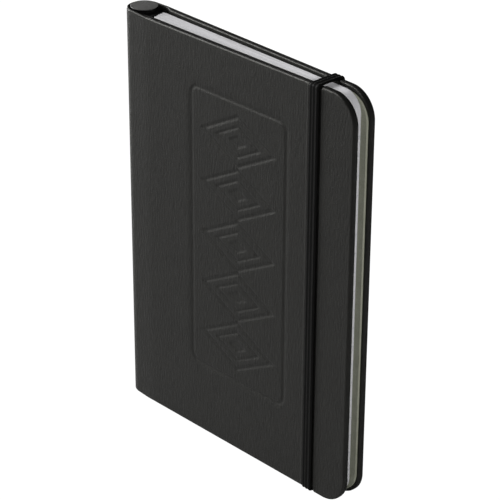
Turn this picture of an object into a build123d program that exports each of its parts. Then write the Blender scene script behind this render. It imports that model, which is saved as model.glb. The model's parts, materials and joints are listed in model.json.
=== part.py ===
"""Pocket notebook with a pen in its round spine, standing on its tail edge.

Frame, in millimetres: +X from the spine to the fore edge, -Y out of the front cover,
+Z from tail to head. The origin is at the middle of the footprint, on the floor.
"""

from build123d import *
from math import atan, cos, degrees, sin
import os

# Whole book
width = 103.2
height = 140.0
hinge_half = 6.0  # half thickness at the cover hinges, the thickest place
fore_half = 4.55  # half thickness at the fore edge
spine_apex = -width / 2
fore_edge = width / 2
mid_height = height / 2
fit_gap = 0.01  # radial gap between parts that are stuck or pushed together

# Covers
hinge_x = spine_apex + 13.0
cover_thick = 2.15
skin_thick = 0.8
lining_thick = 0.2
board_thick = cover_thick - skin_thick - lining_thick
corner_radius = 9.2
outer_round = 0.8
inner_round = 0.5
board_inset = 1.3
board_start = 1.5  # from the hinge line
lining_inset = 3.0
hinge_gap = 0.05

# Round spine and the sleeve for the pen
spine_radius = 5.6
pen_x = spine_apex + spine_radius
sleeve_outer = spine_radius - skin_thick
sleeve_inner = 4.4
sleeve_inset = 0.8  # from head and tail
spine_edge_round = 0.35
web_x = spine_apex + 11.0
web_thick = 0.5
cloth_thick = 0.25
glue_thick = 0.25

# Paper block
section_count = 6
block_bottom = 1.0
block_top = 139.2
fold_x = spine_apex + 12.0
leaf_hinge_x = spine_apex + 13.2
gutter = 0.6  # free paper between a leaf's hinge line and its slab
block_fore_x = spine_apex + 100.0
block_corner = 6.4
block_front_y = -3.5
block_back_y = 2.5
flyleaf_thick = 0.12
leaf_gap = 0.03
thread_width = 0.3
stitch_count = 4
stitch_length = 22.0

# Back pocket
pocket_start = 14.0  # from the hinge line
pocket_end = 89.4
pocket_corner = 8.4
pocket_panel_thick = 0.35
gusset_thick = 0.4
pocket_gap = 0.04
gusset_width = 11.0

# Elastic closure
band_x = spine_apex + 87.5
band_width = 4.0
band_thick = 0.9
band_clear = 0.05
band_bend = 1.3  # outer radius where the band turns over an edge
head_dent = 0.25
slit_depth = 9.0  # from the head or tail edge to each slit in the back cover
anchor_length = 13.0
anchor_thick = 0.3

# Pen
pen_radius = 4.2
disc_radius = 4.45
pen_tip_z = 3.6
nose_tip_radius = 1.3
nose_top_z = 24.0
ring_z = 78.0
ring_height = 2.5
ring_radius = 4.25
plug_z = 132.0
disc_z = 139.7
pen_top_z = 140.5
barrel_bore = 3.0
refill_radius = 1.15
refill_bore = 1.3
ball_radius = 0.5
collar_z = 40.0
refill_top_z = 112.0
cam_z = 96.0
cam_top_z = 122.0

taper = (hinge_half - fore_half) / (fore_edge - hinge_x)
lean = atan(taper)
cover_length = (fore_edge - hinge_x) / cos(lean)

os.makedirs("parts", exist_ok=True)

# Each cover plane lies on the cover's outer face: x from the hinge to the fore edge, z outwards.
front_plane = Plane(
    origin=(hinge_x, -hinge_half, mid_height),
    x_dir=(cos(lean), sin(lean), 0),
    z_dir=(sin(lean), -cos(lean), 0),
)
back_plane = Plane(
    origin=(hinge_x, hinge_half, mid_height),
    x_dir=(cos(lean), -sin(lean), 0),
    z_dir=(sin(lean), cos(lean), 0),
)


def half_thickness(x):
    """Distance from the middle plane to a closed cover's outer face."""
    return hinge_half - taper * (x - hinge_x)


def rounded_sheet(start, end, tall, radius):
    """Draw a tall rectangle in the current sketch, rounded at its two fore corners."""
    with Locations(((start + end) / 2, 0)):
        RectangleRounded(end - start, tall, radius)
    with Locations((start + radius, 0)):
        Rectangle(2 * radius, tall)


# The slits that take the band's two ends through the back cover
slit_heights = (height - slit_depth, slit_depth)
inner_back_y = half_thickness(band_x) - cover_thick + lining_thick

for side, plane in (("front", front_plane), ("back", back_plane)):
    outwards = Axis(plane.origin, plane.z_dir)
    forwards = Axis(plane.origin, plane.x_dir)

    with BuildPart() as cover_board:
        with BuildSketch(plane.offset(-skin_thick)):
            rounded_sheet(
                board_start,
                cover_length - board_inset,
                height - 2 * board_inset,
                corner_radius - board_inset,
            )
        extrude(amount=-board_thick)
    board_blank = cover_board.part

    with BuildPart() as pastedown:
        with BuildSketch(plane.offset(-skin_thick - board_thick)):
            rounded_sheet(
                board_start,
                cover_length - lining_inset,
                height - 2 * lining_inset,
                corner_radius - lining_inset,
            )
        extrude(amount=-lining_thick)

    with BuildPart() as cover_skin:
        with BuildSketch(plane):
            rounded_sheet(hinge_gap, cover_length, height, corner_radius)
        extrude(amount=-cover_thick)
        outside = cover_skin.faces().sort_by(outwards)[-1]
        fillet(outside.edges().sort_by(forwards)[1:], outer_round)
        inside = cover_skin.faces().sort_by(outwards)[0]
        fillet(inside.edges().sort_by(forwards)[1:], inner_round)
        add(board_blank, mode=Mode.SUBTRACT)
        add(pastedown.part, mode=Mode.SUBTRACT)
        # Only leather crosses the hinge
        with BuildSketch(plane.offset(-skin_thick)):
            with Locations((board_start / 2, 0)):
                Rectangle(board_start, height)
        extrude(amount=-cover_thick, mode=Mode.SUBTRACT)
        # Shallow dents where the elastic turns over the head and tail edges
        with Locations((band_x, 0, 0)):
            Box(band_width + 0.2, 4 * hinge_half, 2 * (band_thick + band_clear), mode=Mode.SUBTRACT)
        with Locations((band_x, 0, height)):
            Box(band_width + 0.2, 4 * hinge_half, 2 * head_dent, mode=Mode.SUBTRACT)
        if side == "back":
            with Locations(*[(band_x, half_thickness(band_x), z) for z in slit_heights]):
                Box(band_width + 0.2, 2.5 * skin_thick, band_thick + 0.2, mode=Mode.SUBTRACT)

    if side == "back":
        with cover_board:
            for z, inwards in zip(slit_heights, (-1, 1)):
                with Locations((band_x, half_thickness(band_x), z)):
                    Box(band_width + 0.2, 2 * cover_thick, band_thick + 0.2, mode=Mode.SUBTRACT)
                with Locations((band_x, inner_back_y, z + inwards * anchor_length / 2)):
                    Box(band_width + 0.2, 2 * anchor_thick + 0.3, anchor_length + 0.2, mode=Mode.SUBTRACT)

    cover_board.part.label = f"{side}_cover_board"
    export_step(cover_board.part, f"parts/{side}_cover_board.step")
    pastedown.part.label = f"{side}_pastedown"
    export_step(pastedown.part, f"parts/{side}_pastedown.step")
    cover_skin.part.label = f"{side}_cover_skin"
    export_step(cover_skin.part, f"parts/{side}_cover_skin.step")

# The two glued ends of the elastic, between the back board and its lining
with BuildPart() as elastic_anchors:
    for z, inwards in zip(slit_heights, (-1, 1)):
        with Locations((band_x, inner_back_y + 0.07 + anchor_thick / 2, z + inwards * (anchor_length / 2 + 0.6))):
            Box(band_width, anchor_thick, anchor_length - 1.4)
elastic_anchors.part.label = "elastic_anchors"
export_step(elastic_anchors.part, "parts/elastic_anchors.step")

# Leather round the spine: an arc with two straight runs to the hinge lines
with BuildPart() as spine_cover:
    with BuildSketch():
        with BuildLine():
            front_run = Line((hinge_x, -hinge_half), (pen_x, -spine_radius))
            back_run = Line((hinge_x, hinge_half), (pen_x, spine_radius))
            ThreePointArc((pen_x, -spine_radius), (spine_apex, 0), (pen_x, spine_radius))
            Line((hinge_x, -hinge_half), (hinge_x, hinge_half))
        make_face()
        with BuildLine():
            Line((hinge_x, skin_thick - hinge_half), (pen_x, -sleeve_outer))
            ThreePointArc((pen_x, -sleeve_outer), (pen_x - sleeve_outer, 0), (pen_x, sleeve_outer))
            Line((pen_x, sleeve_outer), (hinge_x, hinge_half - skin_thick))
            Line((hinge_x, hinge_half - skin_thick), (hinge_x, skin_thick - hinge_half))
        make_face(mode=Mode.SUBTRACT)
    extrude(amount=height)
    rim = spine_cover.edges().filter_by(lambda e: e.center().X < hinge_x - 1).filter_by(GeomType.CIRCLE)
    fillet(rim.filter_by(lambda e: abs(e.radius - spine_radius) < 0.01), spine_edge_round)
spine_cover.part.label = "spine_cover"
export_step(spine_cover.part, "parts/spine_cover.step")

# Stiff card tube that holds the pen
with BuildPart() as pen_sleeve:
    with BuildSketch(Plane.XY.offset(sleeve_inset)):
        with Locations((pen_x, 0)):
            Circle(sleeve_outer - fit_gap)
            Circle(sleeve_inner, mode=Mode.SUBTRACT)
    extrude(amount=height - 2 * sleeve_inset)
pen_sleeve.part.label = "pen_sleeve"
export_step(pen_sleeve.part, "parts/pen_sleeve.step")


def inside_spine(x):
    """Half the clear space between the spine leather's two straight runs."""
    return sleeve_outer + (hinge_half - spine_radius) * (x - pen_x) / (hinge_x - pen_x)


# Card web behind the sleeve, then the cloth and glue on the sewn folds
with BuildPart() as spine_web:
    with BuildSketch(Plane.XY.offset(sleeve_inset)):
        with BuildLine():
            Polyline(
                (web_x, -inside_spine(web_x)),
                (web_x + web_thick, -inside_spine(web_x + web_thick)),
                (web_x + web_thick, inside_spine(web_x + web_thick)),
                (web_x, inside_spine(web_x)),
                close=True,
            )
        make_face()
    extrude(amount=height - 2 * sleeve_inset)
spine_web.part.label = "spine_web"
export_step(spine_web.part, "parts/spine_web.step")

block_middle = (block_front_y + block_back_y) / 2
block_thick = block_back_y - block_front_y
block_height = block_top - block_bottom
with BuildPart() as spine_cloth:
    with BuildSketch(Plane.XY.offset(block_bottom + 6)):
        with Locations((web_x + web_thick + cloth_thick / 2, block_middle)):
            Rectangle(cloth_thick, block_thick)
    extrude(amount=block_height - 12)
spine_cloth.part.label = "spine_cloth"
export_step(spine_cloth.part, "parts/spine_cloth.step")

fold_pitch = block_thick / section_count
fold_centres = [block_front_y + (i + 0.5) * fold_pitch for i in range(section_count)]
fold_radius = fold_pitch / 2 - leaf_gap

# Rounded folds of the sections, sewn and glued to the spine
with BuildPart() as section_folds:
    with BuildSketch(Plane.XY.offset(block_bottom)):
        for y in fold_centres:
            with Locations((fold_x + fold_radius, y)):
                Circle(fold_radius)
            with Locations(((fold_x + fold_radius + leaf_hinge_x) / 2, y)):
                Rectangle(leaf_hinge_x - fold_x - fold_radius, 2 * fold_radius)
    extrude(amount=block_height)
    with BuildSketch(Plane.XY.offset(block_bottom)):
        with Locations(*[(leaf_hinge_x, y) for y in fold_centres]):
            Rectangle(2 * thread_width + 0.1, thread_width + 0.1)
    extrude(amount=block_height, mode=Mode.SUBTRACT)
section_folds.part.label = "section_folds"
export_step(section_folds.part, "parts/section_folds.step")

with BuildPart() as spine_glue:
    with BuildSketch(Plane.XY.offset(block_bottom)):
        glue_start = web_x + web_thick + cloth_thick
        with Locations(((glue_start + fold_x + fold_radius) / 2, block_middle)):
            Rectangle(fold_x + fold_radius - glue_start, block_thick)
    extrude(amount=block_height)
    add(section_folds.part, mode=Mode.SUBTRACT)
spine_glue.part.label = "spine_glue"
export_step(spine_glue.part, "parts/spine_glue.step")

# Long stitches down the inside of every fold
stitch_pitch = block_height / stitch_count
with BuildPart() as sewing_thread:
    for y in fold_centres:
        for i in range(stitch_count):
            with Locations((leaf_hinge_x - thread_width / 2, y, block_bottom + (i + 0.5) * stitch_pitch)):
                Box(thread_width, thread_width, stitch_length)
sewing_thread.part.label = "sewing_thread"
export_step(sewing_thread.part, "parts/sewing_thread.step")


# Leaves: slabs that thin towards the fore edge, hinged along the gutter
leaf_start = leaf_hinge_x + gutter


def leaf_outline(spine_y, spine_thick, fore_y, fore_thick):
    """Draw one leaf or section from above, in the current sketch."""
    Polygon(
        (leaf_start, spine_y),
        (block_fore_x, fore_y),
        (block_fore_x, fore_y + fore_thick),
        (leaf_start, spine_y + spine_thick),
        align=None,
    )


front_fore = cover_thick + pocket_gap - half_thickness(block_fore_x) + flyleaf_thick + leaf_gap
pocket_depth = pocket_panel_thick + gusset_thick + 3 * pocket_gap
back_fore = half_thickness(block_fore_x) - cover_thick - pocket_depth - flyleaf_thick - leaf_gap
section_thick_spine = fold_pitch - leaf_gap
section_pitch_fore = (back_fore - front_fore) / section_count
section_thick_fore = section_pitch_fore - leaf_gap

for i in range(section_count):
    spine_y = block_front_y + i * fold_pitch
    fore_y = front_fore + i * section_pitch_fore
    with BuildPart() as page_section:
        with BuildSketch(Plane.XY.offset(block_bottom)):
            leaf_outline(spine_y, section_thick_spine, fore_y, section_thick_fore)
        extrude(amount=block_height)
        end_face = page_section.faces().sort_by(Axis.X)[-1]
        fillet(end_face.edges().filter_by(Axis.Y), block_corner)
    page_section.part.label = f"page_section_{i + 1}"
    export_step(page_section.part, f"parts/page_section_{i + 1}.step")

for side, spine_y, fore_y in (
    ("front", block_front_y - leaf_gap - flyleaf_thick, front_fore - leaf_gap - flyleaf_thick),
    ("back", block_back_y, back_fore),
):
    with BuildPart() as flyleaf:
        with BuildSketch(Plane.XY.offset(block_bottom)):
            leaf_outline(spine_y, flyleaf_thick, fore_y, flyleaf_thick)
        extrude(amount=block_height)
        end_face = flyleaf.faces().sort_by(Axis.X)[-1]
        fillet(end_face.edges().filter_by(Axis.Y), block_corner)
    flyleaf.part.label = f"{side}_flyleaf"
    export_step(flyleaf.part, f"parts/{side}_flyleaf.step")

# Pocket on the back cover: a card panel hinged at the fore edge, and two cloth gussets
gusset_face = back_plane.offset(-cover_thick - pocket_gap)
panel_face = gusset_face.offset(-gusset_thick - pocket_gap)
panel_height = height - 2.6
with BuildPart() as pocket_panel:
    with BuildSketch(panel_face):
        rounded_sheet(pocket_start, pocket_end, panel_height, pocket_corner)
    extrude(amount=-pocket_panel_thick)
pocket_panel.part.label = "pocket_panel"
export_step(pocket_panel.part, "parts/pocket_panel.step")

gusset_start = pocket_start + 3
gusset_end = pocket_end - pocket_corner - 1
for name, sign in (("pocket_gusset_head", -1), ("pocket_gusset_tail", 1)):
    with BuildPart() as gusset:
        with BuildSketch(gusset_face):
            with Locations(((gusset_start + gusset_end) / 2, sign * (panel_height / 2 - 1 - gusset_width / 2))):
                Rectangle(gusset_end - gusset_start, gusset_width)
        extrude(amount=-gusset_thick)
    gusset.part.label = name
    export_step(gusset.part, f"parts/{name}.step")

# Elastic band: down the front, over both edges and into the slits of the back cover
band_y = half_thickness(band_x) + taper * band_width / 2 + band_clear
band_out = band_y + band_thick
band_low = 0.0
band_high = height - head_dent + band_clear + band_thick
with BuildPart() as elastic_band:
    with BuildSketch(Plane.YZ.offset(band_x - band_width / 2)) as band_loop:
        with Locations((0, (band_low + band_high) / 2)):
            Rectangle(2 * band_out, band_high - band_low)
        fillet(band_loop.vertices(), band_bend)
        with Locations((0, (band_low + band_high) / 2)):
            Rectangle(2 * band_y, band_high - band_low - 2 * band_thick, mode=Mode.SUBTRACT)
        # The back of the loop is open between the slits
        open_low = slit_depth + band_thick / 2
        with Locations((band_out, mid_height)):
            Rectangle(4 * band_thick, height - 2 * open_low, mode=Mode.SUBTRACT)
    extrude(amount=band_width)
    # Each end turns in through its slit
    for z in slit_heights:
        with Locations((band_x, band_y - skin_thick / 2, z)):
            Box(band_width, skin_thick + 0.2, band_thick)
elastic_band.part.label = "elastic_band"
export_step(elastic_band.part, "parts/elastic_band.step")


# Pen, upright in the sleeve
def pen_tube(low, high, outer, inner=0):
    """A straight tube or rod on the pen's axis, in the current part."""
    with Locations((pen_x, 0, low)):
        Cylinder(outer, high - low, align=(Align.CENTER, Align.CENTER, Align.MIN))
        if inner > 0:
            Cylinder(inner, high - low, align=(Align.CENTER, Align.CENTER, Align.MIN), mode=Mode.SUBTRACT)


with BuildPart() as pen_nose_cone:
    with BuildSketch(Plane.XZ):
        with BuildLine():
            Polyline(
                (pen_x + refill_bore, pen_tip_z + 2),
                (pen_x + ball_radius + 0.15, pen_tip_z),
                (pen_x + nose_tip_radius, pen_tip_z),
                (pen_x + pen_radius - 0.3, nose_top_z - 6),
                (pen_x + pen_radius, nose_top_z),
                (pen_x + barrel_bore, nose_top_z),
                (pen_x + barrel_bore, nose_top_z + 3),
                (pen_x + refill_bore, nose_top_z + 3),
                close=True,
            )
        make_face()
    revolve(axis=Axis((pen_x, 0, 0), (0, 0, 1)))
pen_nose_cone.part.label = "pen_nose_cone"
export_step(pen_nose_cone.part, "parts/pen_nose_cone.step")

with BuildPart() as pen_lower_barrel:
    pen_tube(nose_top_z, ring_z, pen_radius, barrel_bore)
pen_lower_barrel.part.label = "pen_lower_barrel"
export_step(pen_lower_barrel.part, "parts/pen_lower_barrel.step")

with BuildPart() as pen_centre_ring:
    pen_tube(ring_z, ring_z + ring_height, ring_radius, barrel_bore)
pen_centre_ring.part.label = "pen_centre_ring"
export_step(pen_centre_ring.part, "parts/pen_centre_ring.step")

with BuildPart() as pen_upper_barrel:
    pen_tube(ring_z + ring_height + 0.05, plug_z, pen_radius, barrel_bore)
pen_upper_barrel.part.label = "pen_upper_barrel"
export_step(pen_upper_barrel.part, "parts/pen_upper_barrel.step")

with BuildPart() as pen_end_plug:
    pen_tube(plug_z - 6, plug_z, barrel_bore - fit_gap)
    pen_tube(plug_z, disc_z, pen_radius)
pen_end_plug.part.label = "pen_end_plug"
export_step(pen_end_plug.part, "parts/pen_end_plug.step")

with BuildPart() as pen_end_disc:
    pen_tube(disc_z, pen_top_z, disc_radius)
    fillet(pen_end_disc.edges().group_by(Axis.Z)[-1], 0.2)
pen_end_disc.part.label = "pen_end_disc"
export_step(pen_end_disc.part, "parts/pen_end_disc.step")

with BuildPart() as twist_cam:
    pen_tube(cam_z, cam_top_z, barrel_bore - fit_gap, refill_bore)
twist_cam.part.label = "twist_cam"
export_step(twist_cam.part, "parts/twist_cam.step")

with BuildPart() as refill_tube:
    pen_tube(pen_tip_z + 8, refill_top_z, refill_radius)
refill_tube.part.label = "refill_tube"
export_step(refill_tube.part, "parts/refill_tube.step")

with BuildPart() as refill_collar:
    pen_tube(collar_z, collar_z + 1.5, refill_radius + 0.9, refill_radius)
refill_collar.part.label = "refill_collar"
export_step(refill_collar.part, "parts/refill_collar.step")

with BuildPart() as refill_tip:
    with BuildSketch(Plane.XZ):
        with BuildLine():
            Polyline(
                (pen_x, pen_tip_z + 0.4),
                (pen_x + ball_radius, pen_tip_z + 0.6),
                (pen_x + ball_radius, pen_tip_z + 4.5),
                (pen_x + refill_radius, pen_tip_z + 5.5),
                (pen_x + refill_radius, pen_tip_z + 8),
                (pen_x, pen_tip_z + 8),
                close=True,
            )
        make_face()
    revolve(axis=Axis((pen_x, 0, 0), (0, 0, 1)))
refill_tip.part.label = "refill_tip"
export_step(refill_tip.part, "parts/refill_tip.step")

with BuildPart() as refill_spring:
    pen_tube(nose_top_z + 3, collar_z, refill_bore + 0.5, refill_bore)
refill_spring.part.label = "refill_spring"
export_step(refill_spring.part, "parts/refill_spring.step")

print(f"cover lean {degrees(lean):.2f} degrees, length {cover_length:.2f} mm")
print(f"block at the fore edge {back_fore - front_fore:.2f} mm, band to {band_high:.2f} mm")
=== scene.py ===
import json
import math

import bpy
import numpy as np
from mathutils import Matrix, Vector


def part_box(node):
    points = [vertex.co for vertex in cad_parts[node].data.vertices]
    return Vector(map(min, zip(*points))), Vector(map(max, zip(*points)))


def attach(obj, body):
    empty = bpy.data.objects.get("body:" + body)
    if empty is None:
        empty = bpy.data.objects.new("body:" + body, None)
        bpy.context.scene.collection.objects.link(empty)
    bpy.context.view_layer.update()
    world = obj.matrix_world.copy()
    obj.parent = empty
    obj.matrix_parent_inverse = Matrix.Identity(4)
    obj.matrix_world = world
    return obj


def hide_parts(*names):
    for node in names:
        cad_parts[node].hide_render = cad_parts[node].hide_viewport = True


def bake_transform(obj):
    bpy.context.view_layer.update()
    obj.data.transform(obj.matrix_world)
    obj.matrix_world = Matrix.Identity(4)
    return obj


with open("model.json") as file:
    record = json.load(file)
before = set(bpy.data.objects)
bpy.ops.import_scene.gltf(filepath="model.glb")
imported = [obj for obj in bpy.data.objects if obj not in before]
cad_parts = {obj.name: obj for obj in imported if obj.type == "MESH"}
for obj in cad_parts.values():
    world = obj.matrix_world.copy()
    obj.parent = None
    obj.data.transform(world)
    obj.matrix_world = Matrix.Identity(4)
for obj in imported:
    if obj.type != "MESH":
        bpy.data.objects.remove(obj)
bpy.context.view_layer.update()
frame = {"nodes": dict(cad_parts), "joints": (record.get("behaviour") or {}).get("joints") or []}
nodes = frame["nodes"]
joints = {j["name"]: j for j in frame["joints"]}
mm = 0.001

# Places that every piece shares, in metres, from the fixed frame
book = {
    "apex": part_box("spine_cover")[0].x,
    "height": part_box("front_cover_skin")[1].z,
    "hingeX": joints["front_cover_hinge"]["pos_m"][0],
    "hingeHalf": -joints["front_cover_hinge"]["pos_m"][1],
    "foreX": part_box("front_cover_skin")[1].x,
    "bandX": (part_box("elastic_band")[0].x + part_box("elastic_band")[1].x) / 2,
    "penX": joints["pen_twist"]["pos_m"][0],
}
midHeight = book["height"] / 2


def smooth(low, high, values):
    # 0 below low and 1 above high, with 3t*t - 2t*t*t between.
    t = np.clip((values - low) / (high - low), 0, 1)
    return t * t * (3 - 2 * t)


def spread(*spans):
    # Joins even runs of (start, end, steps) into one rising array.
    runs = [np.linspace(a, b, n, endpoint=False) for a, b, n in spans]
    return np.concatenate(runs + [[spans[-1][1]]])


def gridQuads(index):
    # Quads between neighbours of a 2D index array, rows up and columns to the right.
    corners = (index[:-1, :-1], index[:-1, 1:], index[1:, 1:], index[1:, :-1])
    return np.stack(corners, axis=-1).reshape(-1, 4)


def makePiece(name, points, polygons, material, uv=None, edgeUv=None, sharp=50):
    # One mesh object at the origin, smooth except where faces meet at more than sharp degrees.
    mesh = bpy.data.meshes.new(name)
    mesh.from_pydata(np.asarray(points, float).tolist(), [], polygons)
    for layer, values in (("surface", uv), ("edge", edgeUv)):
        if values is not None:
            corner = np.empty(len(mesh.loops), np.int32)
            mesh.loops.foreach_get("vertex_index", corner)
            mesh.uv_layers.new(name=layer).data.foreach_set("uv", np.asarray(values)[corner].ravel())
    mesh.shade_smooth()
    mesh.set_sharp_from_angle(angle=math.radians(sharp))
    mesh.materials.append(material)
    piece = bpy.data.objects.new(name, mesh)
    bpy.context.scene.collection.objects.link(piece)
    return piece


def roundedShell(columns, cornerSteps, rows, halfHeight, end, corner, profile, place, relief=None):
    # A closed board, rounded at its two fore corners: a front deck, rings round its rim, and a back deck.
    # A rim point is anchor + direction * (corner - inset). profile(s) gives each ring's inset and
    # depth at path length s, and place(s, z, depth) puts a point into the book.
    # Returns points, polygons, surface UV and edge UV.
    turn = np.linspace(0, math.pi / 2, cornerSteps + 1)[1:]
    side = halfHeight - corner
    straight = len(columns)
    count = straight + cornerSteps
    anchorS = np.concatenate([columns, np.full(cornerSteps, end - corner)])
    leanS = np.concatenate([np.zeros(straight), np.sin(turn)])
    leanZ = np.concatenate([np.ones(straight), np.cos(turn)])
    inner = rows[1:-1]
    ones = np.ones(len(inner))
    anchor = np.stack([
        np.concatenate([anchorS, ones * (end - corner), anchorS[::-1]]),
        np.concatenate([np.full(count, -side), inner * side, np.full(count, side)]),
    ])
    toward = np.stack([
        np.concatenate([leanS, ones, leanS[::-1]]),
        np.concatenate([-leanZ, ones * 0, leanZ[::-1]]),
    ])
    inset, depth = profile(anchor[0] + toward[0] * corner)
    ringCount, rim = inset.shape
    reach = np.hypot(np.diff(inset, axis=0), np.diff(depth, axis=0))
    travelled = np.concatenate([np.zeros((1, rim)), np.cumsum(reach, axis=0)])

    ring = anchor[:, None, :] + toward[:, None, :] * (corner - inset)
    topS = ring[0, 0, -count:][::-1]
    topZ = ring[1, 0, -count:][::-1]
    deckS = np.broadcast_to(topS, (len(rows), count))
    deckZ = rows[:, None] * topZ[None, :]
    deckDepth = np.broadcast_to(depth[0, :count], deckS.shape)
    if relief is not None:
        deckDepth = deckDepth + relief(deckS, deckZ)

    index = np.arange(deckS.size).reshape(deckS.shape)
    border = np.concatenate([index[0], index[1:-1, -1], index[-1, ::-1]])
    rings = deckS.size + np.arange((ringCount - 1) * rim).reshape(-1, rim)
    loops = np.vstack([border[None, :], rings])

    pointS = np.concatenate([deckS.ravel(), ring[0, 1:].ravel()])
    pointZ = np.concatenate([deckZ.ravel(), ring[1, 1:].ravel()])
    pointDepth = np.concatenate([deckDepth.ravel(), depth[1:].ravel()])
    points = place(pointS, pointZ, pointDepth)

    around = anchor[:, None, :] + toward[:, None, :] * (corner - inset[0] + travelled)
    uv = np.stack([
        np.concatenate([deckS.ravel(), around[0, 1:].ravel()]),
        np.concatenate([deckZ.ravel(), around[1, 1:].ravel()]),
    ], axis=1)
    edgeUv = np.stack([pointS + pointZ, pointDepth], axis=1)

    polygons = gridQuads(index).tolist() + gridQuads(loops[::-1]).tolist()
    last = loops[-1]
    top = last[::-1]
    back = np.stack([last[:count - 2], top[:count - 2], top[1:count - 1], last[1:count - 1]], axis=-1)
    foreRim = last[count:rim - count][::-1]
    foreFace = [last[count - 2], top[count - 2], top[count - 1], *foreRim, last[count - 1]]
    startFace = [*index[:, 0], *loops[1:, -1], *loops[:0:-1, 0]]
    polygons += back.tolist() + [[int(i) for i in foreFace], [int(i) for i in startFace]]
    return points, polygons, uv, edgeUv


def flipped(polygons):
    return [face[::-1] for face in polygons]


def newGroup(name, inputs, outputs):
    # A shader node group with the named (socket type, name, default) inputs and (type, name) outputs.
    group = bpy.data.node_groups.new(name, "ShaderNodeTree")
    for kind, label, value in inputs:
        socket = group.interface.new_socket(label, in_out="INPUT", socket_type=kind)
        if value is not None:
            socket.default_value = value
    for kind, label in outputs:
        group.interface.new_socket(label, in_out="OUTPUT", socket_type=kind)
    return group, group.nodes.new("NodeGroupInput"), group.nodes.new("NodeGroupOutput")


def addNode(tree, kind, links=None, **settings):
    # Adds a node, sets its properties and input values, and links its inputs from other sockets.
    node = tree.nodes.new(kind)
    for key, value in settings.items():
        setattr(node, key, value)
    for key, value in (links or {}).items():
        socket = node.inputs[key]
        if isinstance(value, bpy.types.NodeSocket):
            tree.links.new(value, socket)
        else:
            socket.default_value = value
    return node


def mathNode(tree, operation, a, b=0.0, c=None):
    values = {0: a, 1: b}
    if c is not None:
        values[2] = c
    return addNode(tree, "ShaderNodeMath", values, operation=operation).outputs[0]


grain = {
    "wobble": 900.0, "shift": 0.6 * mm,  # how finely and how far the cells are pushed about
    "fine": 3800.0, "streak": 1500.0, "streakLong": 0.2,  # streaks are 1 / 0.2 times as long as wide
    "domeShare": 0.55, "fineShare": 0.35, "streakShare": 2.0, "slowShare": 1.4,
}


def buildGrainGroup():
    # Leather grain: domes of rounded cells + fine noise + upright streaks + slow unevenness
    group, start, end = newGroup(
        "leatherGrain",
        [
            ("NodeSocketVector", "Vector", None),
            ("NodeSocketFloat", "Cell", 1.0), ("NodeSocketFloat", "Slow", 1.0),
        ],
        [("NodeSocketFloat", "Height"), ("NodeSocketFloat", "Streak")],
    )
    vector = start.outputs["Vector"]
    noise = lambda at, scale, detail: addNode(
        group, "ShaderNodeTexNoise", {"Vector": at, "Scale": scale, "Detail": detail},
    )
    wobble = noise(vector, grain["wobble"], 2.0)
    shifted = addNode(
        group, "ShaderNodeVectorMath",
        {0: wobble.outputs["Color"], 1: (grain["shift"],) * 3, 2: vector}, operation="MULTIPLY_ADD",
    )
    cells = addNode(
        group, "ShaderNodeTexVoronoi",
        {"Vector": shifted.outputs[0], "Scale": start.outputs["Cell"], "Smoothness": 0.7}, feature="SMOOTH_F1",
    )
    domes = mathNode(group, "SUBTRACT", 1.0, cells.outputs["Distance"])
    drawn = addNode(
        group, "ShaderNodeVectorMath", {0: vector, 1: (1.0, grain["streakLong"], 1.0)}, operation="MULTIPLY",
    )
    streak = noise(drawn.outputs[0], grain["streak"], 3.0).outputs["Fac"]
    height = mathNode(group, "MULTIPLY", domes, grain["domeShare"])
    for layer, share in (
        (noise(vector, grain["fine"], 3.0).outputs["Fac"], grain["fineShare"]),
        (streak, grain["streakShare"]),
        (noise(vector, start.outputs["Slow"], 2.0).outputs["Fac"], grain["slowShare"]),
    ):
        height = mathNode(group, "MULTIPLY_ADD", layer, share, height)
    group.links.new(height, end.inputs["Height"])
    group.links.new(streak, end.inputs["Streak"])
    return group


def buildMottleGroup():
    # Two colours mixed by slow and fine noise, for any surface that isn't one flat colour
    group, start, end = newGroup(
        "mottle",
        [
            ("NodeSocketVector", "Vector", None), ("NodeSocketFloat", "Scale", 100.0),
            ("NodeSocketColor", "Dark", (0, 0, 0, 1)), ("NodeSocketColor", "Light", (1, 1, 1, 1)),
        ],
        [("NodeSocketColor", "Color"), ("NodeSocketFloat", "Mask")],
    )
    vector, scale = start.outputs["Vector"], start.outputs["Scale"]
    big = addNode(group, "ShaderNodeTexNoise", {
        "Vector": vector, "Scale": scale, "Detail": 4.0, "Roughness": 0.6,
    })
    finer = mathNode(group, "MULTIPLY", scale, 11.0)
    small = addNode(group, "ShaderNodeTexNoise", {"Vector": vector, "Scale": finer, "Detail": 2.0})
    bigShare = mathNode(group, "MULTIPLY", big.outputs["Fac"], 0.55)
    both = mathNode(group, "MULTIPLY_ADD", small.outputs["Fac"], 0.45, bigShare)
    ramp = addNode(group, "ShaderNodeMapRange", {0: both, 1: 0.35, 2: 0.65}, interpolation_type="SMOOTHSTEP")
    mix = addNode(group, "ShaderNodeMix", {0: ramp.outputs[0]}, data_type="RGBA")
    group.links.new(start.outputs["Dark"], mix.inputs[6])
    group.links.new(start.outputs["Light"], mix.inputs[7])
    group.links.new(mix.outputs[2], end.inputs["Color"])
    group.links.new(ramp.outputs[0], end.inputs["Mask"])
    return group


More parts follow.
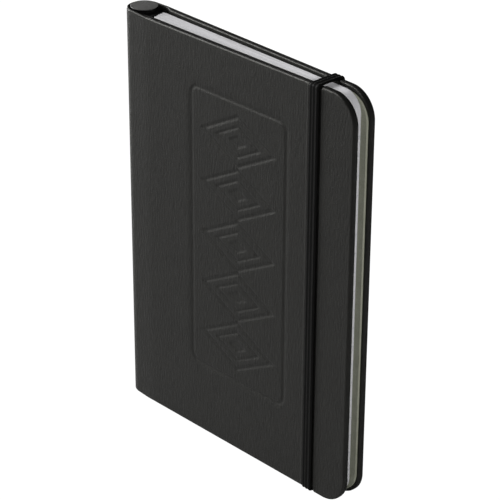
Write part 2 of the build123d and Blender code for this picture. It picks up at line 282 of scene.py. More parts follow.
def buildWeaveGroup():
    # Cloth: ribs across one way times ribs across the other, from a flat vector in metres.
    group, start, end = newGroup(
        "weave",
        [
            ("NodeSocketVector", "Vector", None),
            ("NodeSocketFloat", "Across", 1.0), ("NodeSocketFloat", "Along", 1.0),
        ],
        [("NodeSocketFloat", "Height")],
    )
    split = addNode(group, "ShaderNodeSeparateXYZ", {0: start.outputs["Vector"]})
    across = mathNode(group, "SINE", mathNode(group, "MULTIPLY", split.outputs[0], start.outputs["Across"]))
    along = mathNode(group, "SINE", mathNode(group, "MULTIPLY", split.outputs[1], start.outputs["Along"]))
    product = mathNode(group, "MULTIPLY", across, along)
    height = mathNode(group, "MULTIPLY_ADD", product, 0.5, mathNode(group, "MULTIPLY", across, 0.5))
    group.links.new(height, end.inputs["Height"])
    return group


grainGroup = buildGrainGroup()
mottleGroup = buildMottleGroup()
weaveGroup = buildWeaveGroup()


def startMaterial(name, **constants):
    # A material with one Principled shader and its constant values. Returns material, tree and shader.
    material = bpy.data.materials.new(name)
    material.use_nodes = True
    tree = material.node_tree
    shader = tree.nodes["Principled BSDF"]
    for socket, value in constants.items():
        shader.inputs[socket.replace("_", " ")].default_value = value
    return material, tree, shader


def coordinate(tree, layer=None):
    # The piece's UV layer, or its Object coordinates where no layer is named.
    if layer:
        return addNode(tree, "ShaderNodeUVMap", uv_map=layer).outputs[0]
    return addNode(tree, "ShaderNodeTexCoord").outputs["Object"]


def useGroup(tree, group, links):
    return addNode(tree, "ShaderNodeGroup", links, node_tree=group)


def applyMottle(tree, shader, vector, scale, dark, light, rough=None):
    # Colour from the mottle group, and roughness between two values by the same mask.
    mottle = useGroup(tree, mottleGroup, {
        "Vector": vector, "Scale": scale, "Dark": (*dark, 1), "Light": (*light, 1),
    })
    tree.links.new(mottle.outputs["Color"], shader.inputs["Base Color"])
    if rough:
        spreadRough = addNode(tree, "ShaderNodeMapRange", {0: mottle.outputs["Mask"], 3: rough[0], 4: rough[1]})
        tree.links.new(spreadRough.outputs[0], shader.inputs["Roughness"])
    return mottle


def applyBump(tree, shader, height, strength, distance, below=None):
    bump = addNode(tree, "ShaderNodeBump", {"Strength": strength, "Distance": distance, "Height": height})
    if below is not None:
        tree.links.new(below, bump.inputs["Normal"])
    tree.links.new(bump.outputs[0], shader.inputs["Normal"])
    return bump.outputs[0]


leatherFinish = {
    "dark": (0.0085, 0.0085, 0.008), "light": (0.0115, 0.0115, 0.0106), "blotch": 120.0,
    "cell": 2400.0, "slow": 160.0, "smoothest": 0.36, "roughest": 0.6, "relief": 0.1 * mm,
    "tint": (1.0, 0.99, 0.93, 1),
}


def leatherMaterial():
    look = leatherFinish
    material, tree, shader = startMaterial("coverLeather", Specular_IOR_Level=0.5, Specular_Tint=look["tint"])
    vector = coordinate(tree, "surface")
    applyMottle(tree, shader, vector, look["blotch"], look["dark"], look["light"])
    skin = useGroup(tree, grainGroup, {"Vector": vector, "Cell": look["cell"], "Slow": look["slow"]})
    rough = addNode(tree, "ShaderNodeMapRange", {
        0: skin.outputs["Streak"], 1: 0.3, 2: 0.7, 3: look["smoothest"], 4: look["roughest"],
    })
    tree.links.new(rough.outputs[0], shader.inputs["Roughness"])
    applyBump(tree, shader, skin.outputs["Height"], 0.8, look["relief"])
    return material


elasticFinish = {
    "dark": (0.0028, 0.0028, 0.0026), "light": (0.006, 0.006, 0.0055), "blotch": 500.0,
    "rough": (0.55, 0.75), "across": 12000.0, "along": 7000.0, "relief": 0.08 * mm,
}


def elasticMaterial():
    # Dull black thread, with a weave much finer than the band's ribs
    look = elasticFinish
    material, tree, shader = startMaterial(
        "elastic", Specular_IOR_Level=0.16, Sheen_Weight=0.01, Sheen_Roughness=0.5,
    )
    vector = coordinate(tree, "surface")
    applyMottle(tree, shader, vector, look["blotch"], look["dark"], look["light"], look["rough"])
    weave = useGroup(tree, weaveGroup, {"Vector": vector, "Across": look["across"], "Along": look["along"]})
    applyBump(tree, shader, weave.outputs["Height"], 0.6, look["relief"])
    return material


paper = {
    "dark": (0.7, 0.695, 0.715, 1), "light": (0.79, 0.785, 0.8, 1), "blotch": 60.0,
    "ruleEvery": 6.4 * mm, "ruleWide": 0.13 * mm, "ruledHalf": 60.0 * mm, "rule": (0.42, 0.45, 0.5, 1),
    "streakAlong": 22.0, "streakThrough": 9000.0, "streakDark": 0.62,
}


def paperMaterial(name, ruled=False, cutEdge=False):
    # Mottled paper with fibres; ruled adds pale writing lines, cutEdge adds a streak for every leaf or two
    material, tree, shader = startMaterial(name, Roughness=0.75, Specular_IOR_Level=0.25)
    surface = coordinate(tree, "surface")
    colour = useGroup(tree, mottleGroup, {
        "Vector": surface, "Scale": paper["blotch"], "Dark": paper["dark"], "Light": paper["light"],
    }).outputs["Color"]
    if cutEdge:
        # Noise drawn out along the block: slow along the edge, quick through its thickness
        edge = addNode(tree, "ShaderNodeSeparateXYZ", {0: coordinate(tree, "edge")})
        stretched = addNode(tree, "ShaderNodeCombineXYZ", {
            0: mathNode(tree, "MULTIPLY", edge.outputs[0], paper["streakAlong"]),
            1: mathNode(tree, "MULTIPLY", edge.outputs[1], paper["streakThrough"]),
        })
        streak = addNode(tree, "ShaderNodeTexNoise", {
            "Vector": stretched.outputs[0], "Scale": 1.0, "Detail": 2.0,
        })
        shade = addNode(tree, "ShaderNodeMapRange", {
            0: streak.outputs["Fac"], 1: 0.32, 2: 0.6, 3: paper["streakDark"], 4: 1.0,
        })
        dimmed = addNode(tree, "ShaderNodeMix", {0: 1.0, 6: colour}, data_type="RGBA", blend_type="MULTIPLY")
        tree.links.new(shade.outputs[0], dimmed.inputs[7])
        colour = dimmed.outputs[2]
    if ruled:
        # A line wherever the height is a whole number of spacings, within the ruled part
        height = addNode(tree, "ShaderNodeSeparateXYZ", {0: surface}).outputs[1]
        phase = mathNode(tree, "PINGPONG", mathNode(tree, "ADD", height, 1.0), paper["ruleEvery"] / 2)
        line = mathNode(tree, "LESS_THAN", phase, paper["ruleWide"])
        inside = mathNode(tree, "LESS_THAN", mathNode(tree, "ABSOLUTE", height), paper["ruledHalf"])
        mask = mathNode(tree, "MULTIPLY", mathNode(tree, "MULTIPLY", line, inside), 0.7)
        ruledMix = addNode(tree, "ShaderNodeMix", {0: mask, 6: colour, 7: paper["rule"]}, data_type="RGBA")
        colour = ruledMix.outputs[2]
    tree.links.new(colour, shader.inputs["Base Color"])
    fibre = addNode(tree, "ShaderNodeTexNoise", {"Vector": surface, "Scale": 2600.0, "Detail": 3.0})
    applyBump(tree, shader, fibre.outputs["Fac"], 0.12, 0.05 * mm)
    return material


def cardMaterial(name, dark, light, layer=None, gloss=0.25):
    material, tree, shader = startMaterial(name, Specular_IOR_Level=gloss)
    vector = coordinate(tree, layer)
    applyMottle(tree, shader, vector, 180.0, dark, light, (0.7, 0.82))
    fibre = addNode(tree, "ShaderNodeTexNoise", {"Vector": vector, "Scale": 1500.0, "Detail": 3.0})
    applyBump(tree, shader, fibre.outputs["Fac"], 0.25, 0.06 * mm)
    return material


def clothMaterial(name, dark, light, layer=None):
    material, tree, shader = startMaterial(name, Specular_IOR_Level=0.2, Sheen_Weight=0.2)
    vector = coordinate(tree, layer)
    applyMottle(tree, shader, vector, 300.0, dark, light, (0.8, 0.92))
    weave = useGroup(tree, weaveGroup, {"Vector": vector, "Across": 15000.0, "Along": 15000.0})
    applyBump(tree, shader, weave.outputs["Height"], 0.5, 0.06 * mm)
    return material


def plasticMaterial(name, dark, light, rough, speckle, **constants):
    # Moulded plastic: nearly even colour, roughness that drifts, and a fine moulded skin.
    material, tree, shader = startMaterial(name, **constants)
    vector = coordinate(tree)
    applyMottle(tree, shader, vector, 250.0, dark, light, rough)
    skin = addNode(tree, "ShaderNodeTexNoise", {"Vector": vector, "Scale": 5000.0, "Detail": 2.0})
    applyBump(tree, shader, skin.outputs["Fac"], speckle, 0.03 * mm)
    return material


def metalMaterial(name, dark, light, rough):
    material, tree, shader = startMaterial(name, Metallic=1.0)
    vector = coordinate(tree)
    applyMottle(tree, shader, vector, 300.0, dark, light, rough)
    turned = addNode(tree, "ShaderNodeMapping", {"Vector": vector, "Scale": (60, 60, 9000)})
    rings = addNode(tree, "ShaderNodeTexNoise", {"Vector": turned.outputs[0], "Scale": 1.0})
    applyBump(tree, shader, rings.outputs["Fac"], 0.08, 0.02 * mm)
    return material


leather = leatherMaterial()
elastic = elasticMaterial()
ruledPaper = paperMaterial("ruledPaper", ruled=True)
plainPaper = paperMaterial("plainPaper")
cutPaper = paperMaterial("cutPaper", cutEdge=True)
endPaper = cardMaterial("endPaper", (0.5, 0.49, 0.45), (0.6, 0.59, 0.55))
pocketCard = cardMaterial("pocketCard", (0.33, 0.34, 0.265), (0.41, 0.42, 0.34), "surface")
# near black for the pen sleeve and the spine web, so the hollow round the pen at the spine's head shows dark:
# painted shade
blackCard = cardMaterial("blackCard", (0.003, 0.003, 0.003), (0.008, 0.008, 0.008), gloss=0.1)
greyBoard = cardMaterial("greyBoard", (0.2, 0.185, 0.15), (0.3, 0.28, 0.24))
gussetCloth = clothMaterial("gussetCloth", (0.006, 0.006, 0.006), (0.014, 0.014, 0.014), "surface")
# the spine cloth is near black so the same hollow shows dark: painted shade
spineCloth = clothMaterial("spineCloth", (0.008, 0.008, 0.008), (0.016, 0.016, 0.016))
threadCotton = clothMaterial("threadCotton", (0.6, 0.59, 0.55), (0.75, 0.74, 0.7))
# the spine glue is near black so the same hollow shows dark: painted shade
spineGlue = plasticMaterial("spineGlue", (0.01, 0.01, 0.01), (0.02, 0.02, 0.02), (0.3, 0.5), 0.3)
penBarrel = plasticMaterial("penBarrel", (0.012, 0.012, 0.012), (0.017, 0.017, 0.017), (0.3, 0.4), 0.1)
penGloss = plasticMaterial("penGloss", (0.006, 0.006, 0.006), (0.009, 0.009, 0.009), (0.1, 0.16), 0.03)
penDisc = plasticMaterial("penDisc", (0.095, 0.095, 0.092), (0.12, 0.12, 0.117), (0.55, 0.68), 0.3)
camPlastic = plasticMaterial("camPlastic", (0.55, 0.55, 0.55), (0.65, 0.65, 0.65), (0.4, 0.5), 0.1)
refillPlastic = plasticMaterial("refillPlastic", (0.3, 0.4, 0.55), (0.38, 0.48, 0.62), (0.2, 0.3), 0.05)
chrome = metalMaterial("chrome", (0.55, 0.55, 0.56), (0.66, 0.66, 0.67), (0.14, 0.22))
brass = metalMaterial("brass", (0.5, 0.36, 0.13), (0.62, 0.46, 0.2), (0.22, 0.34))
springSteel = metalMaterial("springSteel", (0.4, 0.4, 0.41), (0.5, 0.5, 0.5), (0.25, 0.35))

cadFinish = {
    "front_cover_board": greyBoard, "back_cover_board": greyBoard,
    "front_pastedown": endPaper, "back_pastedown": endPaper,
    # pen sleeve, spine web, spine cloth and spine glue: near-black finishes that paint the shade of the hollow
    # at the spine's head
    "elastic_anchors": elastic, "pen_sleeve": blackCard, "spine_web": blackCard,
    "spine_cloth": spineCloth, "spine_glue": spineGlue, "sewing_thread": threadCotton,
    "pen_nose_cone": chrome, "pen_centre_ring": chrome,
    "pen_lower_barrel": penBarrel, "pen_upper_barrel": penBarrel,
    "pen_end_plug": penGloss, "pen_end_disc": penDisc,
    "twist_cam": camPlastic, "refill_collar": camPlastic, "refill_tube": refillPlastic,
    "refill_tip": brass,
}
for nodeName, finish in cadFinish.items():
    nodes[nodeName].data.materials.clear()
    nodes[nodeName].data.materials.append(finish)
print("materials ready")

cover = {
    "thick": 2.15 * mm, "corner": 9.2 * mm, "outerRound": 0.65 * mm, "innerRound": 0.5 * mm,
    "spineThick": 0.8 * mm, "spineOuter": 0.35 * mm, "spineInner": 0.15 * mm,
    "foreHalf": 4.55 * mm, "spineRadius": 5.6 * mm, "softHinge": 2.5 * mm, "hingeSpan": 1.2 * mm,
    "turnIn": 3.0 * mm, "lining": 0.2 * mm,
    # The elastic's tight runs dent the cover's head and tail over this reach and half width
    "headDent": 0.25 * mm, "tailDent": 0.95 * mm, "dentReach": 5.0 * mm, "dentHalf": (2.0 * mm, 2.9 * mm),
}
coverLean = math.atan((book["hingeHalf"] - cover["foreHalf"]) / (book["foreX"] - book["hingeX"]))


def spinePath():
    # Path lengths at the hinge and fore edge, and a table of path length, x, half thickness and heading.
    # The heading starts straight out at the spine's apex, turns at 1 / radius round the pen, runs on to
    # the hinge and there turns to the cover's lean; x and half thickness are its integrals.
    radius = cover["spineRadius"]
    toHinge = book["hingeX"] - book["penX"]
    far = math.hypot(toHinge, book["hingeHalf"])
    slant = math.acos(radius / far) - math.atan2(toHinge, book["hingeHalf"])
    arc = radius * (math.pi / 2 - slant)
    hinge = arc + math.sqrt(far * far - radius * radius)
    end = hinge + (book["foreX"] - book["hingeX"]) / math.cos(coverLean)
    s = np.linspace(0, end * 1.01, 6001)
    heading = np.where(s < arc, math.pi / 2 - s / radius, slant)
    heading = heading - (slant + coverLean) * smooth(hinge - cover["softHinge"], hinge + cover["softHinge"], s)
    step = s[1] - s[0]
    middle = (heading[1:] + heading[:-1]) / 2
    x = book["apex"] + np.concatenate([[0], np.cumsum(np.cos(middle) * step)])
    half = np.concatenate([[0], np.cumsum(np.sin(middle) * step)])
    return hinge, end, s, x, half, heading


hingeS, endS, pathS, pathX, pathHalf, pathHeading = spinePath()
bandS = hingeS + (book["bandX"] - book["hingeX"]) / math.cos(coverLean)


def placeOnCover(side):
    # place(s, z, depth): the path point, moved inwards by depth along the path's normal.
    def place(s, z, depth):
        heading = np.interp(s, pathS, pathHeading)
        x = np.interp(s, pathS, pathX) + depth * np.sin(heading)
        half = np.interp(s, pathS, pathHalf) - depth * np.cos(heading)
        under = 1 - smooth(*cover["dentHalf"], np.abs(s - bandS))
        nearHead = smooth(midHeight - cover["dentReach"], midHeight, z)
        nearTail = smooth(midHeight - cover["dentReach"], midHeight, -z)
        z = z - under * nearHead * cover["headDent"] + under * nearTail * cover["tailDent"]
        return np.stack([x, side * half, z + midHeight], axis=1)
    return place


def leatherProfile(s):
    # Rings from the outer face round the edge to the turn-in and the lining's bed.
    # Outer quarter circle, side, inner quarter circle, then flat. Thickness and radii change
    # smoothly from the thin spine leather to the padded cover beyond the hinge.
    onCover = smooth(hingeS - 3.0 * mm, hingeS + 1.0 * mm, s)
    mix = lambda thin, padded: cover[thin] + (cover[padded] - cover[thin]) * onCover
    thick = mix("spineThick", "thick")
    outer, inner = mix("spineOuter", "outerRound"), mix("spineInner", "innerRound")
    inset, depth = [], []
    for a in np.linspace(0, math.pi / 2, 8):
        inset.append(outer * (1 - math.sin(a)))
        depth.append(outer * (1 - math.cos(a)))
    for a in np.linspace(0, math.pi / 2, 5):
        inset.append(inner * (1 - math.cos(a)))
        depth.append(thick - inner * (1 - math.sin(a)))
    bed = cover["lining"] * 0.9 * onCover
    for reach, drop in ((1.0 * mm, 0), (cover["turnIn"] - 0.02 * mm, 0), (cover["turnIn"], bed)):
        inset.append(np.full_like(s, reach))
        depth.append(thick - drop)
    return np.array(inset), np.array(depth)


# Pressed ornament: a thin frame with a column of lozenges, all plain strokes
ornament = {
    "fromHinge": 42.0 * mm, "centreZ": 5.0 * mm, "halfWide": 21.0 * mm, "halfTall": 49.0 * mm,
    "frameCorner": 3.0 * mm, "stroke": 0.9 * mm, "shoulder": 0.35 * mm, "depth": 0.22 * mm,
    "lozenges": 5, "lozengeWide": 15.5 * mm, "lozengeTall": 8.4 * mm,
}


def pressedOrnament(s, z):
    # Depth of the ornament: full inside a stroke, falling to nothing over its shoulder.
    x = s - hingeS - ornament["fromHinge"]
    z = z - ornament["centreZ"]
    half, shoulder = ornament["stroke"] / 2, ornament["shoulder"]
    stroke = lambda distance, wide=half: 1 - smooth(wide - shoulder / 2, wide + shoulder, np.abs(distance))
    qx = np.abs(x) - ornament["halfWide"] + ornament["frameCorner"]
    qz = np.abs(z) - ornament["halfTall"] + ornament["frameCorner"]
    outside = np.hypot(np.maximum(qx, 0), np.maximum(qz, 0)) + np.minimum(np.maximum(qx, qz), 0)
    mark = stroke(outside - ornament["frameCorner"])
    pitch = 2 * (ornament["halfTall"] - 4 * mm) / ornament["lozenges"]
    wide, tall = ornament["lozengeWide"], ornament["lozengeTall"]
    scale = wide * tall / math.hypot(wide, tall)
    for k in range(ornament["lozenges"]):
        dz = z - (k - (ornament["lozenges"] - 1) / 2) * pitch
        ratio = np.abs(x) / wide + np.abs(dz) / tall
        mark = np.maximum(mark, stroke((ratio - 1) * scale))
        mark = np.maximum(mark, stroke((ratio - 0.6) * scale, half * 0.6))
        mark = np.maximum(mark, 1 - smooth(0.2, 0.3, ratio))
    return mark * ornament["depth"]


bandMark = {
    "half": 2.0 * mm, "soft": 0.5 * mm, "sink": 0.05 * mm,
    "ridgeAt": 2.75 * mm, "ridgeWide": 0.4 * mm, "ridge": 0.14 * mm,
}


def pressedBand(s):
    # The closure's mark: a shallow sink under it, and beside it a low ridge exp(-(distance / width)^2).
    off = np.abs(s - bandS)
    sink = bandMark["sink"] * (1 - smooth(bandMark["half"] - bandMark["soft"], bandMark["half"], off))
    return sink - bandMark["ridge"] * np.exp(-(((off - bandMark["ridgeAt"]) / bandMark["ridgeWide"]) ** 2))


def leatherCover(name, side, relief=None):
    # Half of the spine and one cover in one skin, from the spine's apex to the fore edge.
    near = hingeS + ornament["fromHinge"]
    left, right = near - ornament["halfWide"] - mm, near + ornament["halfWide"] + mm
    cornerS = endS - cover["corner"]
    fine = 96 if relief is not None else 16
    columns = spread(
        (0, 0.1 * mm, 1), (0.1 * mm, hingeS - 3 * mm, 34), (hingeS - 3 * mm, hingeS + 3 * mm, 30),
        (hingeS + 3 * mm, left, 9), (left, right, fine),
        (right, bandS - 4 * mm, 7), (bandS - 4 * mm, bandS + 4 * mm, 44), (bandS + 4 * mm, cornerS, 3),
    )
    low = (ornament["centreZ"] - ornament["halfTall"] - mm) / midHeight
    high = (ornament["centreZ"] + ornament["halfTall"] + mm) / midHeight
    rows = spread(
        (-1, -0.93, 8), (-0.93, low, 8), (low, high, 290 if relief is not None else 24),
        (high, 0.93, 8), (0.93, 1, 8),
    )
    deep = lambda s, z: pressedBand(s) + (relief(s, z) if relief is not None else 0)
    points, polygons, uv, _ = roundedShell(
        columns, 16, rows, midHeight, endS, cover["corner"], leatherProfile, placeOnCover(side), deep,
    )
    if side > 0:
        polygons = flipped(polygons)
    return makePiece(name, points, polygons, leather, uv)


for name, side, body, stands, relief in (
    ("frontLeather", -1, "front_cover", ("front_cover_skin", "spine_cover"), pressedOrnament),
    ("backLeather", 1, "back_cover", ("back_cover_skin",), None),
):
    piece = leatherCover(name, side, relief)
    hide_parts(*stands)
    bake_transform(piece)
print("covers made")

pages = {
    "leaves": 16, "groove": 0.02 * mm, "unevenness": 0.05 * mm, "corner": 6.4 * mm,
    "bendStart": -0.3 * mm, "bendEnd": 2.2 * mm, "foldX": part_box("section_folds")[0].x,
    "foldSetBack": (1.25, 0.95, 0.75, 0.4, 0.3, 0.0),  # mm, front section first: the block leans in its case
}


def slabEnds(nodeName):
    # Start and fore x, front and back y at both, and lowest and highest z of a CAD leaf or section.
    mesh = nodes[nodeName].data
    co = np.empty(len(mesh.vertices) * 3)
    mesh.vertices.foreach_get("co", co)
    co = co.reshape(-1, 3)
    start, fore = co[:, 0].min(), co[:, 0].max()
    atStart, atFore = co[co[:, 0] < start + 1e-5, 1], co[co[:, 0] > fore - 1e-5, 1]
    return start, fore, atStart.min(), atStart.max(), atFore.min(), atFore.max(), co[:, 2].min(), co[:, 2].max()


def leafShell(nodeName, startX, noseRound, leaves, seed):
    # A slab of leaves from the fold to the fore edge, with a groove between neighbouring leaves.
    # At x the slab's middle and half thickness run straight from the leaf hinge to the fore edge, and
    # the fold's nose is half * sqrt(1 - (1 - t)^2), where t goes from 0 to 1 over the nose.
    start, fore, startFront, startBack, foreFront, foreBack, low, high = slabEnds(nodeName)
    halfHeight = (high - low) / 2
    layers = 2 * leaves + 1
    rng = np.random.default_rng(seed)
    uneven = np.repeat(rng.uniform(0, pages["unevenness"], leaves + 1), 2)[:layers]
    grooves = np.where(np.arange(layers) % 2 == 0, pages["groove"], 0) + uneven
    grooves[0] = grooves[-1] = uneven[0]

    def faces(x):
        t = np.clip((x - start) / (fore - start), 0, 1)
        front = startFront + (foreFront - startFront) * t
        back = startBack + (foreBack - startBack) * t
        return front, back

    def nose(x):
        t = np.clip((x - startX) / max(noseRound, 1e-9), 0.06, 1)
        return np.sqrt(1 - (1 - t) ** 2) if noseRound else np.ones_like(x)

    def profile(x):
        share = np.linspace(0, 1, layers)[:, None] * np.ones_like(x)[None, :]
        inset = grooves[:, None] * np.ones_like(x)[None, :]
        return inset, share

    def place(x, z, share):
        front, back = faces(x)
        middle, half = (front + back) / 2, (back - front) / 2 * nose(x)
        return np.stack([x, middle + half * (2 * share - 1), z + halfHeight + low], axis=1)

    columns = spread(
        (startX, startX + max(noseRound, 0.1 * mm), 6), (startX + max(noseRound, 0.1 * mm), start + 3 * mm, 14),
        (start + 3 * mm, fore - pages["corner"], 10),
    )
    rows = spread((-1, 1, 14))
    points, polygons, uv, edgeUv = roundedShell(
        columns, 12, rows, halfHeight, fore, pages["corner"], profile, place,
    )
    edgeUv[:, 1] = points[:, 1]
    return points, polygons, uv, edgeUv


def cutEdges(piece):
    # Faces that look along the block instead of through it are the leaves' cut edges
    normal = np.empty(len(piece.data.polygons) * 3)
    piece.data.polygons.foreach_get("normal", normal)
    cut = np.abs(normal.reshape(-1, 3)[:, 1]) < 0.7
    piece.data.materials.append(cutPaper)
    piece.data.polygons.foreach_set("material_index", cut.astype(np.int32))


sectionNames = sorted(name for name in nodes if name.startswith("page_section_"))
for number, nodeName in enumerate(sectionNames):
    startFront, startBack = slabEnds(nodeName)[2:4]
    points, polygons, uv, edgeUv = leafShell(
        nodeName, pages["foldX"] + pages["foldSetBack"][number] * mm, (startBack - startFront) / 2,
        pages["leaves"], number,
    )
    piece = makePiece(f"pageSection{number + 1}", points, polygons, ruledPaper, uv, edgeUv, sharp=40)
    cutEdges(piece)
    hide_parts(nodeName)
    if number == 0:
        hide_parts("section_folds")
    hinge = joints[f"section_{number + 1}_turn"]["pos_m"]
    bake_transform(piece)

for side, body in (("front", "front_leaf"), ("back", "back_leaf")):
    hinge = joints[f"{side}_flyleaf_turn"]["pos_m"]
    points, polygons, uv, edgeUv = leafShell(f"{side}_flyleaf", hinge[0] - 0.2 * mm, 0, 1, 20)
    piece = makePiece(f"{side}FlyLeaf", points, polygons, plainPaper, uv, edgeUv, sharp=40)
    cutEdges(piece)
    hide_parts(f"{side}_flyleaf")
    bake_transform(piece)
print("paper block made")

hingePaper = {
    "thick": 0.06 * mm, "inset": 4.0 * mm, "onCover": 5.0 * mm, "lift": 0.05 * mm, "columns": 24,
    "bendStart": 0.3 * mm, "bendEnd": 2.2 * mm,
}


def hingeStrip(side):
    # A strip of endpaper from the block's gutter to the cover's lining: a straight grid, two skins thick.
    gutter = joints[f"{'front' if side < 0 else 'back'}_flyleaf_turn"]["pos_m"]
    t = np.linspace(0, 1, hingePaper["columns"])
    x = gutter[0] - 0.1 * mm + t * hingePaper["onCover"]
    s = hingeS + (x - book["hingeX"])
    inner = np.interp(s, pathS, pathHalf) - cover["thick"] - hingePaper["lift"]
    half = np.minimum(inner, abs(gutter[1]) + 0.03 * mm + (x - x[0]) * 0.5)
    z = np.array([hingePaper["inset"], book["height"] - hingePaper["inset"]])
    outer = np.stack([
        np.broadcast_to(x, (2, len(x))), np.broadcast_to(side * half, (2, len(x))),
        np.broadcast_to(z[:, None], (2, len(x))),
    ], axis=-1).reshape(-1, 3)
    innerSkin = outer - np.array([0, side * hingePaper["thick"], 0])
    n = len(x)
    front = np.arange(2 * n).reshape(2, n)
    back = front + 2 * n
    ring = np.concatenate([front[0], front[1][::-1], front[0][:1]])
    ringBack = ring + 2 * n
    walls = np.stack([ring[1:], ring[:-1], ringBack[:-1], ringBack[1:]], axis=-1)
    polygons = gridQuads(front).tolist() + gridQuads(back)[:, ::-1].tolist() + walls.tolist()
    if side > 0:
        polygons = flipped(polygons)
    return np.vstack([outer, innerSkin]), polygons


for name, side, body in (("frontHingePaper", -1, "front_cover"), ("backHingePaper", 1, "back_cover")):
    points, polygons = hingeStrip(side)
    piece = makePiece(name, points, polygons, endPaper, sharp=40)
    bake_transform(piece)
print("hinge papers made")

pocket = {
    "start": 14.0 * mm, "end": 89.4 * mm, "corner": 8.4 * mm, "halfTall": midHeight - 1.3 * mm,
    "nearFace": 2.19 * mm, "panelFace": 2.63 * mm, "thick": 0.35 * mm, "round": 0.1 * mm,
    "wallStart": 79.0 * mm, "gussetWide": 11.0 * mm, "gussetStart": 17.0 * mm, "gussetEnd": 79.0 * mm,
    "clothThick": 0.09 * mm,
}


def placeOnBack(s, z, depth):
    # place(s, z, depth) on the back cover: s from the hinge, depth inwards from its outer face.
    x = book["hingeX"] + s * math.cos(coverLean) - depth * math.sin(coverLean)
    y = book["hingeHalf"] - s * math.sin(coverLean) - depth * math.cos(coverLean)
    return np.stack([x, y, z + midHeight], axis=1)


def panelProfile(s):
    # Rings from the panel's inner face outwards; at the fore edge they go on down to the cover.
    wall = smooth(pocket["wallStart"], pocket["end"] - 2 * mm, s)
    top = pocket["panelFace"] + pocket["thick"]
    foot = pocket["panelFace"] + (pocket["nearFace"] - pocket["panelFace"]) * wall
    r = pocket["round"]
    inset = [np.full_like(s, v) for v in (r, 0.3 * r, 0, 0, 0, 0.5 * r, 2.0 * r)]
    depth = [top, top - 0.3 * r, top - r, top + (foot - top) * 0.6, foot + r, foot + 0.2 * r, foot]
    return np.array(inset), np.array([d * np.ones_like(s) for d in depth])


points, polygons, uv, _ = roundedShell(
    spread(
        (pocket["start"], pocket["wallStart"], 24), (pocket["wallStart"], pocket["end"] - pocket["corner"], 4),
    ),
    14, spread((-1, 1, 20)), pocket["halfTall"], pocket["end"], pocket["corner"], panelProfile, placeOnBack,
)
pocketPanel = makePiece("pocketPanel", points, polygons, pocketCard, uv, sharp=40)
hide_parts("pocket_panel")
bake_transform(pocketPanel)


def gussetCloths(sign):
    # Folded cloth at the pocket's head or tail: a V from the cover in to the fold and out to the panel.
    # Down the V's length depth goes evenly from the cover's face to the panel's, and z goes in to the
    # fold and out again as |2t - 1|; towards the fore edge the cloth narrows to about a quarter of its width.
    s = np.linspace(pocket["gussetStart"], pocket["gussetEnd"], 40)
    t = np.linspace(0, 1, 13)
    edge = pocket["halfTall"] - 1.2 * mm
    taper = smooth(pocket["gussetEnd"] - 30 * mm, pocket["gussetEnd"] + 5 * mm, s)
    wide = pocket["gussetWide"] * (1 - taper * 0.75)
    z = edge - wide[None, :] * (1 - np.abs(2 * t - 1))[:, None]
    across = pocket["nearFace"] + (pocket["panelFace"] - pocket["nearFace"]) * t
    depth = np.broadcast_to(across[:, None], z.shape)
    sGrid = np.broadcast_to(s, z.shape)
    points = placeOnBack(sGrid.ravel(), sign * z.ravel(), depth.ravel())
    index = np.arange(z.size).reshape(z.shape)
    polygons = gridQuads(index).tolist()
    if sign < 0:
        polygons = flipped(polygons)
    return points, polygons, np.stack([sGrid.ravel(), z.ravel()], axis=1)


for name, sign, nodeName in (("gussetHead", 1, "pocket_gusset_head"), ("gussetTail", -1, "pocket_gusset_tail")):
    points, polygons, uv = gussetCloths(sign)
    piece = makePiece(name, points, polygons, gussetCloth, uv, sharp=80)
    thicken = piece.modifiers.new("thickness", "SOLIDIFY")
    thicken.thickness = pocket["clothThick"]
    thicken.offset = 0
    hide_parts(nodeName)
    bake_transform(piece)
print("pocket made")

band = {
    "wide": 4.0 * mm, "thick": 0.88 * mm, "turn": 0.95 * mm, "slit": 9.0 * mm,
    "ribs": 3, "ribDepth": 0.17 * mm, "across": 41, "step": 0.9 * mm,
}


def bandRoute():
    # Middle line of the band in (y, z): straight runs joined by quarter turns, from one slit round to the other
    boxLow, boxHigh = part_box("elastic_band")
    half, r = band["thick"] / 2, band["turn"]
    yOut = boxHigh.y - half - 0.02 * mm
    zTop, zLow = boxHigh.z - half, boxLow.z + half
    yIn = yOut - 1.1 * mm
    slitHigh, slitLow = book["height"] - band["slit"], band["slit"]
    small = 0.5 * mm
    corners = [
        (yIn, slitHigh, 0), (yOut, slitHigh, small), (yOut, zTop, r), (-yOut, zTop, r),
        (-yOut, zLow, r), (yOut, zLow, r), (yOut, slitLow, small), (yIn, slitLow, 0),
    ]
    route = []
    for k, (y, z, radius) in enumerate(corners):
        here = np.array([y, z])
        if radius == 0:
            route.append(here[None, :])
            continue
        before = np.array(corners[k - 1][:2]) - here
        after = np.array(corners[k + 1][:2]) - here
        before, after = before / np.linalg.norm(before), after / np.linalg.norm(after)
        angle = np.linspace(0, math.pi / 2, 9)[:, None]
        route.append(here + radius * ((1 - np.sin(angle)) * before + (1 - np.cos(angle)) * after))
    route = np.vstack(route)
    lengths = np.concatenate([[0], np.cumsum(np.linalg.norm(np.diff(route, axis=0), axis=1))])
    gaps = np.diff(lengths)
    fill = [np.linspace(a, b, max(1, int(math.ceil(g / band["step"]))), endpoint=False)
            for a, b, g in zip(lengths[:-1], lengths[1:], gaps)]
    along = np.concatenate(fill + [[lengths[-1]]])
    return along, np.stack([np.interp(along, lengths, route[:, k]) for k in (0, 1)], axis=1)


